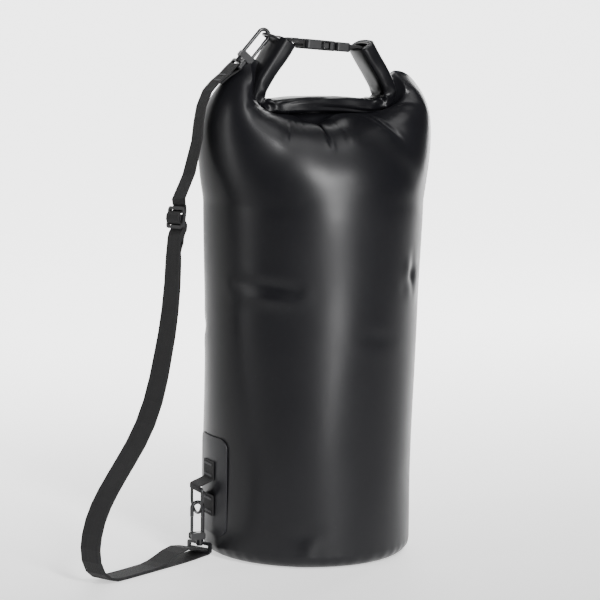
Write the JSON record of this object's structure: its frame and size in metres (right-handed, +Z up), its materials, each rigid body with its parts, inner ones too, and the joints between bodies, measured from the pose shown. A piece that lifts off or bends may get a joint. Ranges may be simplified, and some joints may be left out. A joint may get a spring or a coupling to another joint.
{
  "type": "dry_bag",
  "caption": "Roll-top dry bag in glossy black coated fabric, its rolled mouth buckled into a carry handle, with a webbing shoulder strap clipped to D-rings by swivel hooks",
  "frame": {"origin": "centre of the bag's base on the floor", "axes": "+Z up the bag, X along the rolled mouth with the shoulder strap on the -X side, -Y the front"},
  "size_m": [0.424, 0.2308, 0.5728],
  "materials": {
    "bag_pvc": "black coated fabric with a soft satin gloss",
    "webbing": "woven black polyester webbing",
    "thread": "black sewing thread",
    "buckle_plastic": "moulded black acetal, fine satin",
    "ring_metal": "black coated wire",
    "hook_metal": "black coated casting",
    "spring_steel": "bare spring wire"
  },
  "bodies": {
    "bag": {"bag_body": "bag_pvc", "base_disc": "bag_pvc", "rolled_mouth": "bag_pvc", "mouth_stiffener": "buckle_plastic", "lower_patch": "bag_pvc", "lower_tab": "webbing", "tab_stitches": "thread", "left_tab": "webbing", "ring_loop": "webbing", "buckle_housing": "buckle_plastic"},
    "buckle_half": {"roll_right_end": "bag_pvc", "right_tab": "webbing", "buckle_plug": "buckle_plastic"},
    "front_prong": {"prong_front": "buckle_plastic"},
    "rear_prong": {"prong_rear": "buckle_plastic"},
    "upper_ring": {"upper_d_ring": "ring_metal"},
    "lower_ring": {"lower_d_ring": "ring_metal"},
    "strap": {"strap_webbing": "webbing", "strap_adjuster": "buckle_plastic", "strap_stitches": "thread", "upper_eye": "hook_metal", "lower_eye": "hook_metal"},
    "upper_snap": {"upper_hook": "hook_metal", "upper_gate_pin": "hook_metal", "upper_gate_spring": "spring_steel"},
    "upper_snap_gate": {"upper_gate": "hook_metal"},
    "lower_snap": {"lower_hook": "hook_metal", "lower_gate_pin": "hook_metal", "lower_gate_spring": "spring_steel"},
    "lower_snap_gate": {"lower_gate": "hook_metal"}
  },
  "joints": [
    {"name": "buckle_release", "type": "slide", "parent": "bag", "child": "buckle_half", "axis": [0.9968, 0, -0.0802], "range_m": [0, 0.024]},
    {"name": "front_prong_press", "type": "hinge", "parent": "buckle_half", "child": "front_prong", "pos_m": [0.02216, -0.0079, 0.55294], "axis": [-0.0802, 0, -0.9968], "range_deg": [0, 4], "stiffness_Nm_per_rad": 0.25},
    {"name": "rear_prong_press", "type": "hinge", "parent": "buckle_half", "child": "rear_prong", "pos_m": [0.02216, 0.0079, 0.55294], "axis": [0.0802, 0, 0.9968], "range_deg": [0, 4], "stiffness_Nm_per_rad": 0.25},
    {"name": "upper_ring_swing", "type": "hinge", "parent": "bag", "child": "upper_ring", "pos_m": [-0.0384, 0, 0.5582], "axis": [0, 1, 0], "range_deg": [-2, 0]},
    {"name": "lower_ring_swing", "type": "hinge", "parent": "bag", "child": "lower_ring", "pos_m": [-0.1308, 0, 0.076], "axis": [0, 1, 0], "range_deg": [-2, 2]},
    {"name": "strap_swing", "type": "hinge", "parent": "bag", "child": "strap", "pos_m": [-0.1308, 0, 0.0476], "axis": [0.1413, 0, 0.99], "range_deg": [-12, 0]},
    {"name": "upper_swivel", "type": "hinge", "parent": "strap", "child": "upper_snap", "pos_m": [-0.08711, 0, 0.53612], "axis": [0.6606, 0, 0.7507], "range_deg": [-12, 12]},
    {"name": "upper_gate_open", "type": "hinge", "parent": "upper_snap", "child": "upper_snap_gate", "pos_m": [-0.07409, 0, 0.53759], "axis": [0, -1, 0], "range_deg": [0, 20], "stiffness_Nm_per_rad": 0.02},
    {"name": "lower_swivel", "type": "hinge", "parent": "strap", "child": "lower_snap", "pos_m": [-0.1272, 0, 0.0125], "axis": [0, 0, 1], "range_deg": [-12, 12]},
    {"name": "lower_gate_open", "type": "hinge", "parent": "lower_snap", "child": "lower_snap_gate", "pos_m": [-0.136, 0, 0.0222], "axis": [0, 1, 0], "range_deg": [0, 20], "stiffness_Nm_per_rad": 0.02}
  ],
  "couplings": [
    {"joint": "rear_prong_press", "follows": "front_prong_press", "ratio": 1}
  ]
}
